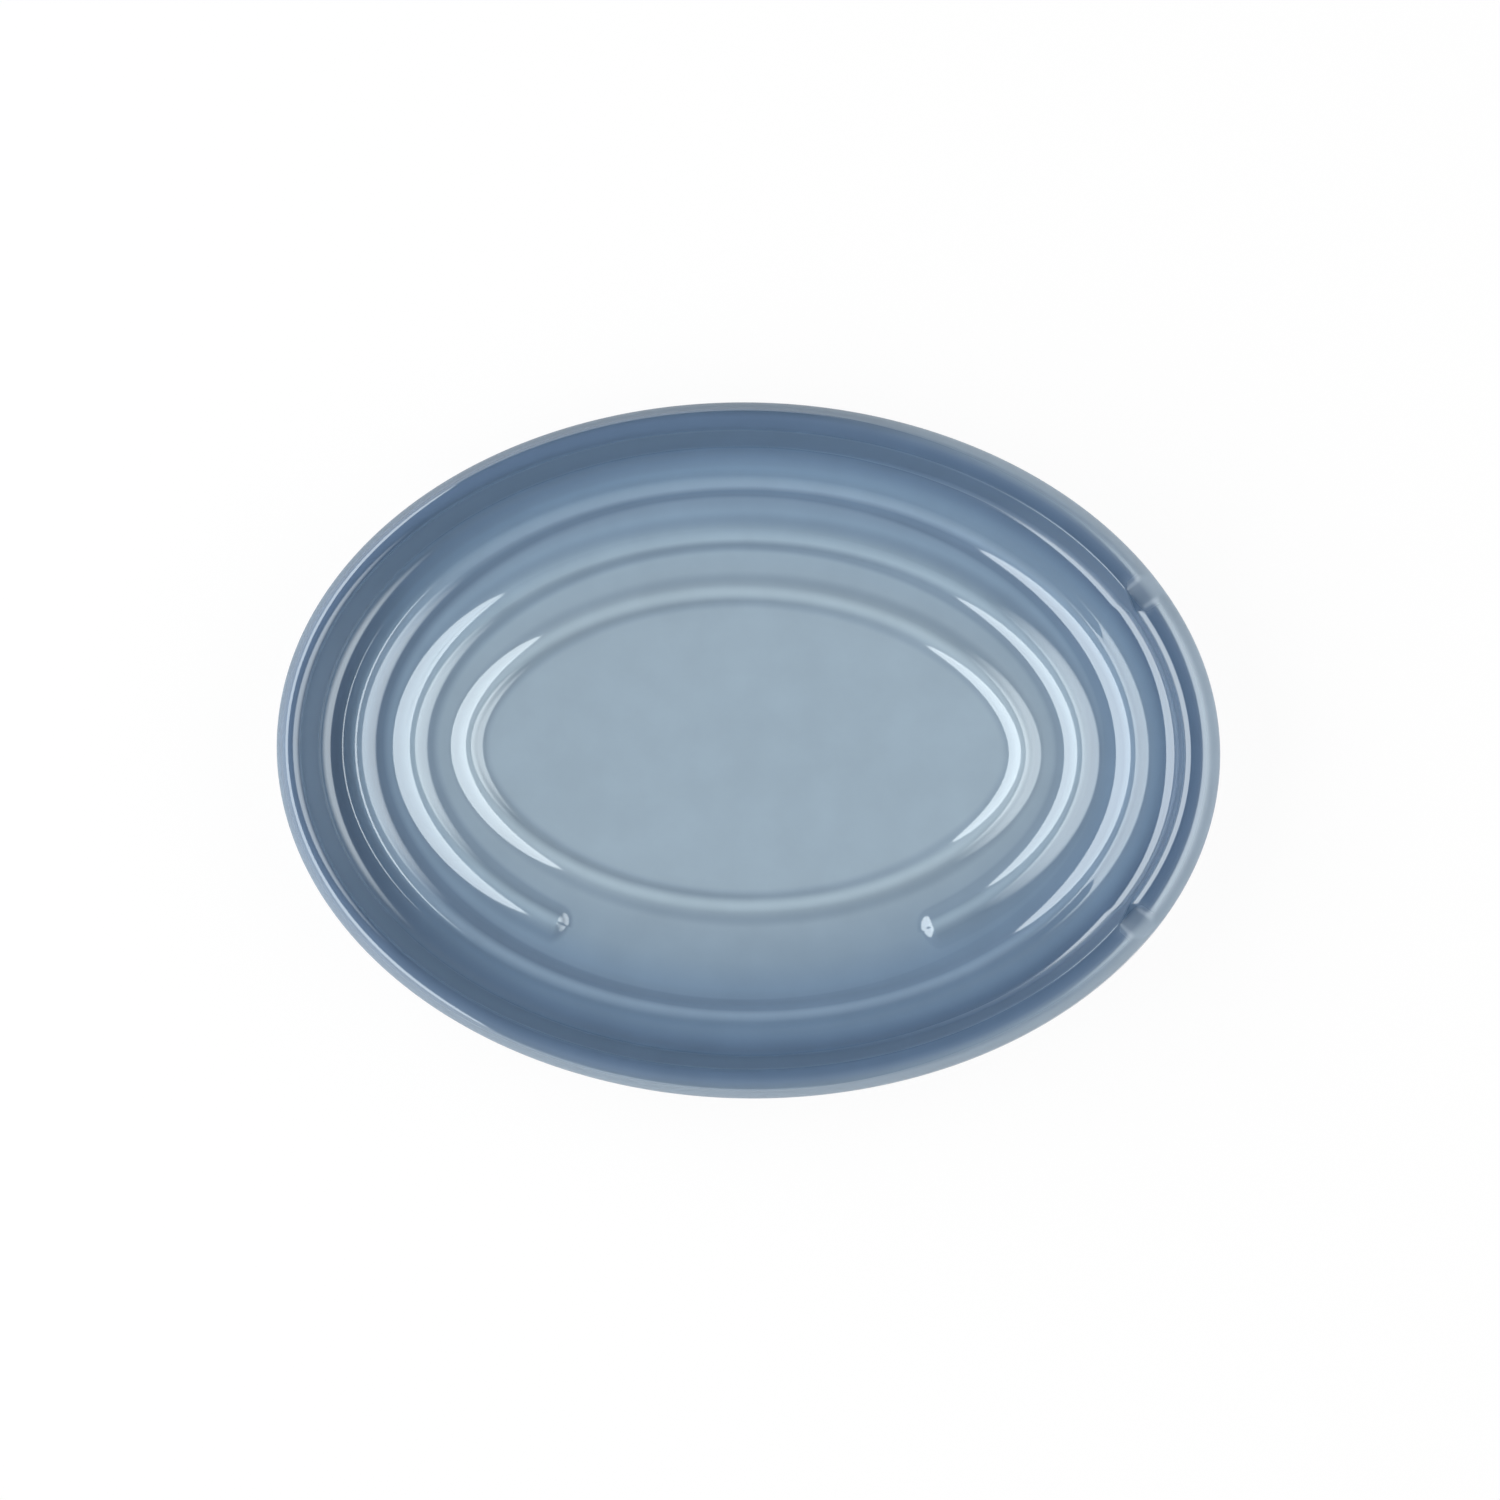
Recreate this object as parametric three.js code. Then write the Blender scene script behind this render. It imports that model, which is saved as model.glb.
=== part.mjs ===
import * as THREE from "three";

// Spoon rest: an oval stoneware dish with a rounded rim, three raised rings round a flat floor,
// and a dip in the rim at one end where the spoon's handle lies.
// Millimetres, +Z up. The origin is on the table under the middle of the oval, and +X points to the dip.
//
// Every surface is a loft of one section round the oval. The section is drawn by inset, the distance in
// from the outline, and height. Its rings and walls are therefore parallel curves of the outline.

// The oval outline
const length = 152;
const width = 112;

// Heights, from the table up
const recessDepth = 3.4;
const baseThickness = 6.2;
const dishDepth = 11.4;

// The rim and the wall under it. The lip changes from the far end of the oval to the end with the dip:
// its outside gets rounder, its top wider and its inner edge tighter.
const farLip = { crestInset: 2.45, outerRadius: 0.9, flat: 0.15, innerRadius: 1.9 };
const nearLip = { crestInset: 3.1, outerRadius: 2.7, flat: 1.2, innerRadius: 0.6 };
const lipTurn = THREE.MathUtils.degToRad(55);
const wallSlope = THREE.MathUtils.degToRad(77.2);
const wallFootRadius = 3.3;

// The dip for the handle: its width across the oval, and how its section differs from the rim's
const dipWidth = 53;
const dipDepth = 4.7;
const dipEndReach = 3.8;
const dipLip = { outerRadius: 3.1, flat: 1, innerRadius: 1.9 };
const dipCornerSlope = THREE.MathUtils.degToRad(82.5);

// The face of the dish: how far in its plain floor begins, and how much higher than the floor the face
// lies outside the first ring, by the dip
const floorInset = 36;
const nearLevelRise = 0.4;

// The raised rings, from the rim in, sit a little further from the dip than the outline does. Towards the
// long sides their inner flanks draw in to the side reach. A ring with a gap is left out there, in the
// middle of the long side at -Y, and the gap's width is measured along X on the outline.
const rings = [
  { crestInset: 13.4, rise: 1.2, outerReach: 3.2, innerReach: 4.3, gapWidth: 0 },
  { crestInset: 22, rise: 1.05, outerReach: 4.2, innerReach: 3.8, gapWidth: 79 },
  { crestInset: 31.1, rise: 1.05, outerReach: 3.6, innerReach: 3.1, gapWidth: 0 },
];
const crestRadius = 2;
const sideReach = 2.4;
const ringShift = 0.58;
const ringEndReach = 2.4;

// The outside and the foot
const shoulderDrop = 1.5;
const footHeight = 1.6;
const footInset = 19;
const footWidth = 3;
const footChamfer = 0.4;
const recessRadius = 1.4;

// The glaze
const glazeThickness = 0.45;

// How finely curves are drawn
const quarters = 4;
const widestColumnStep = THREE.MathUtils.degToRad(7.6);
const stepsPerEnd = 4;
const fineRingSteps = 2;
const coarseRingSteps = 0;
const fineArcSteps = 4;
const coarseArcSteps = 2;
const outsideSteps = 4;
const parallelShare = 0.85;

// What follows from the sizes above
const halfLength = length / 2;
const halfWidth = width / 2;
const floorHeight = recessDepth + baseThickness;
const rimHeight = floorHeight + dishDepth;
const shoulderHeight = rimHeight - dipDepth - dipLip.outerRadius - shoulderDrop;
const parallelReach = parallelShare * halfWidth ** 2 / halfLength;
const backward = -Math.PI / 2;
const outward = -Math.PI / 2;
const downward = -Math.PI;
const dipAngle = Math.asin(dipWidth / 2 / halfWidth);
const dipEndAngle = dipEndReach / arcRate(dipAngle, 0);

// Length of a parallel curve of the outline, per radian of the oval's angle.
function arcRate(angle, inset) {
  const rate = Math.hypot(halfLength * Math.sin(angle), halfWidth * Math.cos(angle));
  return rate - inset * halfLength * halfWidth / rate ** 2;
}

// The place on the plan at an angle of the oval and an inset. Parallel curves of an oval stay smooth only
// up to its tightest radius, so further in the last smooth one shrinks towards the middle.
function planPoint(angle, inset) {
  const parallelInset = Math.min(inset, parallelReach);
  const shrink = (halfWidth - inset) / (halfWidth - parallelInset);
  const normal = new THREE.Vector2(Math.cos(angle) / halfLength, Math.sin(angle) / halfWidth).normalize();
  return new THREE.Vector2(halfLength * Math.cos(angle), halfWidth * Math.sin(angle))
    .addScaledVector(normal, -parallelInset)
    .multiplyScalar(shrink);
}

// The angles at which the section is drawn: evenly between the quarter points of the oval and the ends
// of the dip and of the ring gaps, and close together over each end.
function columnAngles() {
  const turn = 2 * Math.PI;
  const marks = Array.from({ length: quarters }, (unused, quarter) => ({
    from: turn * quarter / quarters,
    reach: 0,
  }));
  marks.push({ from: dipAngle, reach: dipEndAngle });
  marks.push({ from: turn - dipAngle - dipEndAngle, reach: dipEndAngle });
  for (const ring of rings.filter(({ gapWidth }) => gapWidth > 0)) {
    const reach = ringEndAngle(ring);
    const half = gapAngle(ring);
    marks.push({ from: turn + backward - half, reach });
    marks.push({ from: turn + backward + half - reach, reach });
  }
  marks.sort((one, other) => one.from - other.from);
  return marks.flatMap(({ from, reach }, index) => {
    const to = index + 1 < marks.length ? marks[index + 1].from : turn;
    const endSteps = reach > 0 ? stepsPerEnd : 0;
    const openSteps = Math.ceil((to - from - reach) / widestColumnStep);
    return [
      ...Array.from({ length: endSteps }, (unused, step) => from + reach * step / endSteps),
      ...Array.from({ length: openSteps }, (unused, step) => (
        THREE.MathUtils.lerp(from + reach, to, step / openSteps)
      )),
    ];
  });
}

// Half of a ring's gap as an angle, and the angle over which each of the ring's ends rounds off.
function gapAngle(ring) {
  return Math.asin(ring.gapWidth / 2 / halfLength);
}

function ringEndAngle(ring) {
  return ringEndReach / arcRate(backward + gapAngle(ring), ring.crestInset);
}

// How far an angle lies from another one, either way round.
function angleBetween(angle, other) {
  return Math.abs(Math.atan2(Math.sin(angle - other), Math.cos(angle - other)));
}

// How near an angle is to the dip: 0 at the far end of the oval, 1 in the middle of the dip.
function nearShare(angle) {
  return (1 + Math.cos(angle)) / 2;
}

// A point of the section. Its lean is the tilt of the surface's outward normal from upright, positive
// towards the middle of the dish.
function sectionPoint(inset, height, lean) {
  return { inset, height, lean };
}

// The points of an arc in the section, from one lean to another. On a hollow arc the surface lies on the
// side of the centre that its normal points away from.
function sectionArc(centreInset, centreHeight, radius, fromLean, toLean, steps, side = 1) {
  return Array.from({ length: steps + 1 }, (unused, step) => {
    const lean = THREE.MathUtils.lerp(fromLean, toLean, step / steps);
    return sectionPoint(
      centreInset + side * radius * Math.sin(lean),
      centreHeight + side * radius * Math.cos(lean),
      lean,
    );
  });
}

// Moves a point of the section into the material, square to the surface.
function sunk(point, depth) {
  return sectionPoint(
    point.inset - depth * Math.sin(point.lean),
    point.height - depth * Math.cos(point.lean),
    point.lean,
  );
}

// One flank of a ring, on its outer side (-1) or its inner side (1): a round crest that runs into a
// hollow foot. With s the steepest slope, tan(s / 2) is rise / reach, and the radii of crest and foot
// add up to reach / sin(s).
function flank(ring, angle, side) {
  const endShare = Math.cos(angle) ** 2;
  const level = ring === rings[0] && side < 0 ? nearLevelRise * nearShare(angle) : 0;
  const reach = side < 0 ? ring.outerReach : THREE.MathUtils.lerp(sideReach, ring.innerReach, endShare);
  const slope = 2 * Math.atan2(ring.rise - level, reach);
  return { level, reach, slope, footRadius: reach / Math.sin(slope) - crestRadius };
}

function crestInset(ring, angle) {
  return ring.crestInset + ringShift * Math.cos(angle);
}

// Distances from a ring's crest at which its flank is drawn, from the crest to the foot.
function flankStations({ reach, slope, footRadius }, steps) {
  const leans = Array.from({ length: steps }, (unused, step) => slope * (step + 1) / steps);
  const onFoot = leans.slice(0, -1).reverse();
  return [
    0,
    ...leans.map((lean) => crestRadius * Math.sin(lean)),
    ...onFoot.map((lean) => reach - footRadius * Math.sin(lean)),
    reach,
  ];
}

// Height over the floor and lean of the face where one ring alone stands on it. Past the ring's end, the
// distance to it is the hypotenuse of the one to its crest and the way past the end.
function ridge(ring, inset, angle) {
  const across = inset - crestInset(ring, angle);
  const { level, reach, slope, footRadius } = flank(ring, angle, Math.sign(across));
  const pastEnd = ring.gapWidth > 0 ? gapAngle(ring) - angleBetween(angle, backward) : 0;
  const along = pastEnd > 0 ? reach * pastEnd / ringEndAngle(ring) : 0;
  const distance = Math.hypot(across, along);
  if (distance >= reach) {
    return { height: level, lean: 0 };
  }
  const onCrest = distance < crestRadius * Math.sin(slope);
  const tilt = Math.asin(onCrest ? distance / crestRadius : (reach - distance) / footRadius);
  return {
    height: onCrest
      ? ring.rise - crestRadius * (1 - Math.cos(tilt))
      : level + footRadius * (1 - Math.cos(tilt)),
    lean: distance > 0 ? Math.atan(Math.tan(tilt) * across / distance) : 0,
  };
}

// The face of the dish from the edge of its plain floor out to the first ring's outer foot.
function facePoints(angle, ringSteps) {
  const insets = [floorInset];
  for (const ring of rings) {
    const crest = crestInset(ring, angle);
    const inner = flankStations(flank(ring, angle, 1), ringSteps);
    const outer = flankStations(flank(ring, angle, -1), ringSteps).slice(1);
    insets.push(...inner.map((distance) => crest + distance), ...outer.map((distance) => crest - distance));
  }
  insets.sort((one, other) => other - one);
  return insets.map((inset) => {
    const ridges = rings.map((ring) => ridge(ring, inset, angle));
    const tallest = ridges.reduce((best, next) => (next.height > best.height ? next : best));
    return sectionPoint(inset, floorHeight + tallest.height, tallest.lean);
  });
}

// The section of the rim at one angle: lower and thicker in the dip, with a wall that stands up
// steeper towards the dip's two ends.
function lipShape(angle) {
  const near = nearShare(angle);
  const fromMiddle = angleBetween(angle, 0);
  const dip = 1 - THREE.MathUtils.smoothstep(fromMiddle, dipAngle, dipAngle + dipEndAngle);
  const corner = dip * Math.min(fromMiddle / dipAngle, 1) ** 2;
  const between = (part) => THREE.MathUtils.lerp(farLip[part], nearLip[part], near);
  const slope = THREE.MathUtils.lerp(wallSlope, dipCornerSlope, corner);
  const drop = dip * dipDepth;
  const highFlat = (1 - dip) * between("flat");
  const innerCentre = between("crestInset") + highFlat + drop / Math.tan(slope);
  return {
    height: rimHeight - drop,
    outerRadius: THREE.MathUtils.lerp(between("outerRadius"), dipLip.outerRadius, dip),
    innerRadius: THREE.MathUtils.lerp(between("innerRadius"), dipLip.innerRadius, dip),
    innerCentre,
    outerCentre: innerCentre - highFlat - dip * dipLip.flat,
    faceHeight: floorHeight + near * nearLevelRise,
    slope,
  };
}

// The wall inside the rim: the hollow at its foot, tangent to the face and the wall, then the rounding
// inside the lip, tangent to the wall and the lip's top.
function wallPoints(lip, arcSteps) {
  const wallNormal = new THREE.Vector2(Math.sin(lip.slope), Math.cos(lip.slope));
  const lipCentre = new THREE.Vector2(lip.innerCentre, lip.height - lip.innerRadius);
  const alongFace = lipCentre.dot(wallNormal) + lip.innerRadius + wallFootRadius;
  const hollowHeight = lip.faceHeight + wallFootRadius;
  const hollowInset = (alongFace - hollowHeight * wallNormal.y) / wallNormal.x;
  return [
    ...sectionArc(hollowInset, hollowHeight, wallFootRadius, 0, lip.slope, arcSteps, -1),
    ...sectionArc(lipCentre.x, lipCentre.y, lip.innerRadius, lip.slope, 0, arcSteps),
  ];
}

// The outside of the rim: the lip's own radius down to the lip's turn, then the radius that reaches the
// outline upright. Under it the wall curves in as a quarter of an oval to the foot ring.
function outsidePoints(lip, arcSteps) {
  const edgeHeight = lip.height - lip.outerRadius;
  const bulgeRadius = (lip.outerCentre - lip.outerRadius * Math.sin(lipTurn)) / (1 - Math.sin(lipTurn));
  const bulgeHeight = edgeHeight + (lip.outerRadius - bulgeRadius) * Math.cos(lipTurn);
  const half = arcSteps / 2;
  const drop = shoulderHeight - footHeight;
  const wall = Array.from({ length: outsideSteps + 1 }, (unused, step) => {
    const turn = Math.PI / 2 * step / outsideSteps;
    const lean = Math.atan2(-Math.cos(turn) * drop, -Math.sin(turn) * footInset);
    return sectionPoint(footInset * (1 - Math.cos(turn)), shoulderHeight - drop * Math.sin(turn), lean);
  });
  return [
    ...sectionArc(lip.outerCentre, edgeHeight, lip.outerRadius, 0, -lipTurn, half + 1),
    ...sectionArc(bulgeRadius, bulgeHeight, bulgeRadius, -lipTurn, outward, half).slice(1),
    ...wall,
  ];
}

// The whole glazed section at one angle, from the floor's edge over the rim to the foot ring.
function glazedSection(angle, ringSteps, arcSteps) {
  const lip = lipShape(angle);
  return [...facePoints(angle, ringSteps), ...wallPoints(lip, arcSteps), ...outsidePoints(lip, arcSteps)];
}

// The clay under the glaze is the same section, more plainly drawn, sunk by the glaze's thickness.
// Its last point stays on the foot ring's side, where the glaze ends.
function claySection(angle) {
  return glazedSection(angle, coarseRingSteps, coarseArcSteps).map((point) => sunk(point, glazeThickness));
}

// The recess in the underside, from the foot ring's inner side to the middle, seen from below.
function recessSection(depth) {
  const innerSide = footInset + footWidth;
  return sectionArc(
    innerSide + recessRadius, recessDepth - recessRadius, recessRadius,
    outward, 0, coarseArcSteps,
  ).map((point) => sectionPoint(
    point.inset + depth * Math.sin(-point.lean),
    point.height - depth * Math.cos(point.lean),
    point.lean,
  ));
}

// Lofts a list of sections, one for each angle, into a closed body. The first and last points of the
// sections close on the middle of the oval. Each four-sided patch is split along its shorter diagonal,
// so that two bodies which share a surface have the same facets there.
function closedLoft(angles, sections) {
  const rows = sections[0].length;
  const columns = angles.length;
  const positions = [];
  const place = (point, angle) => {
    const plan = planPoint(angle, point.inset);
    positions.push(plan.x, plan.y, point.height);
  };
  sections.forEach((section, column) => section.forEach((point) => place(point, angles[column])));
  const firstPole = positions.length / 3;
  positions.push(0, 0, sections[0][0].height);
  const lastPole = firstPole + 1;
  positions.push(0, 0, sections[0][rows - 1].height);

  const corner = (index) => new THREE.Vector3().fromArray(positions, 3 * index);
  const triangles = [];
  for (let column = 0; column < columns; column += 1) {
    const here = column * rows;
    const next = (column + 1) % columns * rows;
    triangles.push(firstPole, here, next);
    for (let row = 0; row + 1 < rows; row += 1) {
      const [a, b, c, d] = [here + row, here + row + 1, next + row + 1, next + row];
      if (corner(a).distanceTo(corner(c)) < corner(b).distanceTo(corner(d))) {
        triangles.push(a, b, c, a, c, d);
      } else {
        triangles.push(a, b, d, b, c, d);
      }
    }
    triangles.push(lastPole, next + rows - 1, here + rows - 1);
  }
  const geometry = new THREE.BufferGeometry();
  geometry.setAttribute("position", new THREE.Float32BufferAttribute(positions, 3));
  geometry.setIndex(triangles);
  geometry.computeVertexNormals();
  return geometry;
}

// The fired clay: its glazed side, the bare foot ring, and the recess under the middle.
function stonewareBody(angles) {
  const outerSide = footInset;
  const innerSide = footInset + footWidth;
  const foot = [
    sectionPoint(outerSide, footHeight, outward),
    sectionPoint(outerSide, footChamfer, outward),
    sectionPoint(outerSide + footChamfer, 0, downward),
    sectionPoint(innerSide - footChamfer, 0, downward),
    sectionPoint(innerSide, footChamfer, downward),
  ];
  const sections = angles.map((angle) => [...claySection(angle), ...foot, ...recessSection(0)]);
  return closedLoft(angles, sections);
}

// The glaze over the face, the rim and the outside wall: a skin between the finished surface and the clay.
function glazeCoat(angles) {
  const sections = angles.map((angle) => [
    ...glazedSection(angle, fineRingSteps, fineArcSteps),
    ...claySection(angle).reverse(),
  ]);
  return closedLoft(angles, sections);
}

// The glaze in the recess of the underside, inside the bare foot ring.
function baseGlaze(angles) {
  const sections = angles.map(() => [
    ...recessSection(0).reverse(),
    ...recessSection(glazeThickness),
  ]);
  return closedLoft(angles, sections);
}

function piece(name, geometry, material) {
  const mesh = new THREE.Mesh(geometry, new THREE.MeshStandardMaterial(material));
  mesh.name = name;
  return mesh;
}

const angles = columnAngles();
const spoonRest = new THREE.Group();
spoonRest.add(
  piece("stoneware_body", stonewareBody(angles), { color: "#cfc6b6", roughness: 0.85, metalness: 0 }),
  piece("glaze_coat", glazeCoat(angles), { color: "#7890a6", roughness: 0.1, metalness: 0 }),
  piece("base_glaze", baseGlaze(angles), { color: "#7890a6", roughness: 0.15, metalness: 0 }),
);

export default spoonRest;
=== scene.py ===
import math

import bpy
import numpy as np
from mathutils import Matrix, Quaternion, Vector


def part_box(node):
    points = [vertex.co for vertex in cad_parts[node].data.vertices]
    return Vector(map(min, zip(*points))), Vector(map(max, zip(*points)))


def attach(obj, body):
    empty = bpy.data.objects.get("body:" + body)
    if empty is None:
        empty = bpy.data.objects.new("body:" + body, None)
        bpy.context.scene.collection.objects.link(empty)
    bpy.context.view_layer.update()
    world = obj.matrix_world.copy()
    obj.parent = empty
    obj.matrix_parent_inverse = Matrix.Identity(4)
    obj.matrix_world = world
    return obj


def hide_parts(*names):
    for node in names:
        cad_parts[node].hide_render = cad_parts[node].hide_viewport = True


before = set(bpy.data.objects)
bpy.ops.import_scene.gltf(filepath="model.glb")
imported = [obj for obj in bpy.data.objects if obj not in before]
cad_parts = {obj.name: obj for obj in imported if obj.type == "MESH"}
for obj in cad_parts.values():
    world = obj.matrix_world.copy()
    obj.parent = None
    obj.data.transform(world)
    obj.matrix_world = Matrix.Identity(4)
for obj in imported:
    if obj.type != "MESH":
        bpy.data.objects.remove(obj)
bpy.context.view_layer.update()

# Spoon rest: an oval glazed dish with a rounded rim, three raised rings and a dip for the handle.
# Metres, +Z up, +X towards the dip. The section is drawn by inset, the distance in from the outline,
# and height, and is carried round the oval, so rings and walls are parallel curves of the outline.

coat_low, coat_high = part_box("glaze_coat")
base_low, base_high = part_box("base_glaze")

# The oval and the heights, from the frame
HALF_LENGTH = coat_high.x
HALF_WIDTH = coat_high.y
RIM_HEIGHT = coat_high.z
RECESS_DEPTH = base_high.z
FOOT_HEIGHT = coat_low.z
FOOT_WIDTH = 0.003
FOOT_INSET = HALF_LENGTH - base_high.x - FOOT_WIDTH

# The rim and the wall inside it. The lip changes from the far end of the oval to the end with the dip:
# its outside gets rounder, its top wider and its inner edge tighter. Past the start of the near wall, a
# share of the way to the dip, the wall gets steeper over the fade. Its foot is tightest by the dip's ends.
FAR_LIP = {"crest": 0.00245, "outer": 0.0009, "flat": 0.00015, "inner": 0.0019}
NEAR_LIP = {"crest": 0.0031, "outer": 0.0027, "flat": 0.0018, "inner": 0.0002}
LIP_TURN = math.radians(55)
FAR_WALL_SLOPE = math.radians(77.2)
NEAR_WALL_SLOPE = math.radians(80)
NEAR_WALL_START = 0.5
NEAR_WALL_FADE = 0.3
FAR_FOOT_RADIUS = 0.0027
NEAR_FOOT_RADIUS = 0.00315
CORNER_FOOT_RADIUS = 0.0023

# The dip for the handle. Its lip's flat top ends further in than the crest's inset by the shift. Its
# ends are slopes over the end reach, and its wall is steepest by them.
DIP_WIDTH = 0.053
DIP_DEPTH = 0.0047
DIP_SHIFT = 0.00107
DIP_END_REACH = 0.0046
DIP_WALL_SLOPE = math.radians(81.5)
DIP_CORNER_SLOPE = math.radians(83)
DIP_LIP_RADIUS = 0.0031
DIP_INNER_RADIUS = 0.0019
DIP_FLAT = 0.001

# The face, which lies higher outside the first ring towards the dip, and its rings: insets of their
# crests, how far each flank reaches, and how dark the painted shade is partway down each flank outside
# and inside its crest. The rings are shifted a little away from the dip and from the side of the gap, and
# lie nearer the outline at the long sides, where their inner flanks draw in to the side reach.
FLOOR_INSET = 0.036
FLOOR_HEIGHT = 0.0096
NEAR_LEVEL_RISE = 0.0004
RINGS = (
    {"crest": 0.0134, "rise": 0.0012, "outer": 0.0032, "inner": 0.0043, "gap": 0.0, "flank_shades": (-0.3, 1.9)},
    {"crest": 0.022, "rise": 0.00105, "outer": 0.0042, "inner": 0.0038, "gap": 0.079, "flank_shades": (0.8, 1.5)},
    {"crest": 0.0311, "rise": 0.00105, "outer": 0.0036, "inner": 0.0031, "gap": 0.0, "flank_shades": (0.6, 0.7)},
)
CREST_RADIUS = 0.002
SIDE_REACH = 0.0024
RING_SHIFT = 0.00058
RING_SIDE_SHIFT = 0.0005
RING_LIFT = 0.00035
RING_END_REACH = 0.0024

# The outside and the foot
SHOULDER_HEIGHT = 0.0117
FOOT_CHAMFER = 0.0004
RECESS_RADIUS = 0.0014
GLAZE_THICKNESS = 0.00045

# How finely the surfaces are drawn: rows down the section and columns round the oval, with close ones
# over the spans of the dip's ends and of the gap's ends, as shares of their lengths
EVEN_COLUMNS = 312
COLUMNS_PER_END = 14
DIP_END_SPAN = (-0.3, 1.3)
GAP_END_SPAN = (-0.6, 1.2)
LEAST_COLUMN_STEP = math.radians(0.05)
FACE_ROWS = 140
FLOOR_ROWS = 10
ARC_ROWS = 10
WALL_ROWS = 6
BAND_ROWS = 3
UNDERSIDE_ROWS = 16
HIDDEN_ROW_STEP = 6
PARALLEL_SHARE = 0.85

# The photograph's frame: its side in pixels, the object's middle and turn there, and its scale
PICTURE_SIDE = 1500
OBJECT_MIDDLE_PIXEL = (747.5, 750.4)
OBJECT_TURN = math.radians(1.158)
PIXELS_PER_METRE = 6213
CAMERA_DISTANCE = 2.0
CAMERA_LEAN = (math.radians(3.3), math.radians(-1.5))
OUTLINE_HEIGHT = 0.0148
SENSOR_SIDE = 36.0
CLIP_END = 100


def outline_rate(angle, inset=0.0):
    """Length per radian of the parallel curve at an inset: r - inset * a * b / r^2, where r is the
    outline's own rate, the hypotenuse of a sin(angle) and b cos(angle)."""
    rate = np.hypot(HALF_LENGTH * np.sin(angle), HALF_WIDTH * np.cos(angle))
    return rate - inset * HALF_LENGTH * HALF_WIDTH / rate**2


DIP_ANGLE = math.asin(DIP_WIDTH / 2 / HALF_WIDTH)
DIP_END_ANGLE = DIP_END_REACH / outline_rate(DIP_ANGLE)


def gap_angles(ring):
    """Half of a ring's gap, and the stretch over which each end rounds off, both as oval angles."""
    half = math.asin(ring["gap"] / 2 / HALF_LENGTH)
    return half, RING_END_REACH / outline_rate(-math.pi / 2 + half, ring["crest"])


def angle_between(angle, other):
    """How far an angle lies from another one, either way round."""
    return np.abs((angle - other + math.pi) % (2 * math.pi) - math.pi)


def smooth_step(value):
    """0 below 0, 1 above 1, and 3 v^2 - 2 v^3 between."""
    value = np.clip(value, 0, 1)
    return value * value * (3 - 2 * value)


def near_share():
    """How near each column is to the dip: 0 at the far end of the oval, 1 in the middle of the dip."""
    return (1 + np.cos(ANGLES)) / 2


def near_wall():
    """1 round the dip and past its ends, falling to 0 at the long sides."""
    return smooth_step((near_share() - NEAR_WALL_START) / NEAR_WALL_FADE)


def dip_share():
    """1 in the dip, falling to 0 over its ends."""
    return 1 - smooth_step((angle_between(ANGLES, 0) - DIP_ANGLE) / DIP_END_ANGLE)


def column_angles():
    """Oval angles of the columns: even steps, with close ones over the ends of the dip and the gap."""
    angles = [np.arange(EVEN_COLUMNS) * 2 * math.pi / EVEN_COLUMNS]
    for side in (-1, 1):
        angles.append(side * (DIP_ANGLE + np.linspace(*DIP_END_SPAN, COLUMNS_PER_END) * DIP_END_ANGLE))
    for ring in RINGS:
        if ring["gap"] > 0:
            half, end = gap_angles(ring)
            for side in (-1, 1):
                reach = np.linspace(*GAP_END_SPAN, COLUMNS_PER_END) * end
                angles.append(-math.pi / 2 + side * (half - reach))
    merged = np.sort(np.concatenate(angles) % (2 * math.pi))
    apart = np.diff(merged, append=merged[0] + 2 * math.pi) > LEAST_COLUMN_STEP
    return merged[apart]


ANGLES = column_angles()


def plan(inset):
    """Places on the plan for insets on the columns: the outline's point less inset times its normal.
    Past the last smooth parallel curve, that curve shrinks evenly towards the middle."""
    reach = PARALLEL_SHARE * HALF_WIDTH**2 / HALF_LENGTH
    parallel = np.minimum(inset, reach)
    shrink = (HALF_WIDTH - inset) / (HALF_WIDTH - parallel)
    normal = np.stack((np.cos(ANGLES) / HALF_LENGTH, np.sin(ANGLES) / HALF_WIDTH))
    normal /= np.hypot(*normal)
    x = shrink * (HALF_LENGTH * np.cos(ANGLES) - parallel * normal[0])
    y = shrink * (HALF_WIDTH * np.sin(ANGLES) - parallel * normal[1])
    return x, y


def flank(distance, reach, rise):
    """Share of a flank's rise at a distance from its crest: a round crest that runs into a hollow foot.
    The steepest slope s has tan(s / 2) = rise / reach, and the two radii add up to reach / sin(s)."""
    slope = 2 * np.arctan2(rise, reach)
    hollow = reach / np.sin(slope) - CREST_RADIUS
    crest = rise - CREST_RADIUS + np.sqrt(np.maximum(CREST_RADIUS**2 - distance**2, 0))
    foot = hollow - np.sqrt(np.maximum(hollow**2 - (reach - distance) ** 2, 0))
    height = np.where(distance < CREST_RADIUS * np.sin(slope), crest, foot)
    return np.where(distance < reach, height, 0) / rise


def crest_inset(ring):
    """The inset of a ring's crest on each column."""
    across = np.sin(ANGLES)
    return ring["crest"] + RING_SHIFT * np.cos(ANGLES) - RING_LIFT * across - RING_SIDE_SHIFT * across**2


def ring_shares(ring, inset):
    """How far places lie from a ring's crest, as a distance and as a share of the flank's reach. Past the
    end of a ring, the distance is the hypotenuse of that to its crest and the way past the end."""
    crest = crest_inset(ring)
    inner = SIDE_REACH + (ring["inner"] - SIDE_REACH) * np.cos(ANGLES) ** 2
    reach = np.where(inset < crest, ring["outer"], inner)
    along = np.zeros_like(ANGLES)
    if ring["gap"] > 0:
        half, end = gap_angles(ring)
        along = np.maximum(half - angle_between(ANGLES, -math.pi / 2), 0) / end
    distance = np.hypot(inset - crest, along * reach)
    return distance, reach


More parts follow.
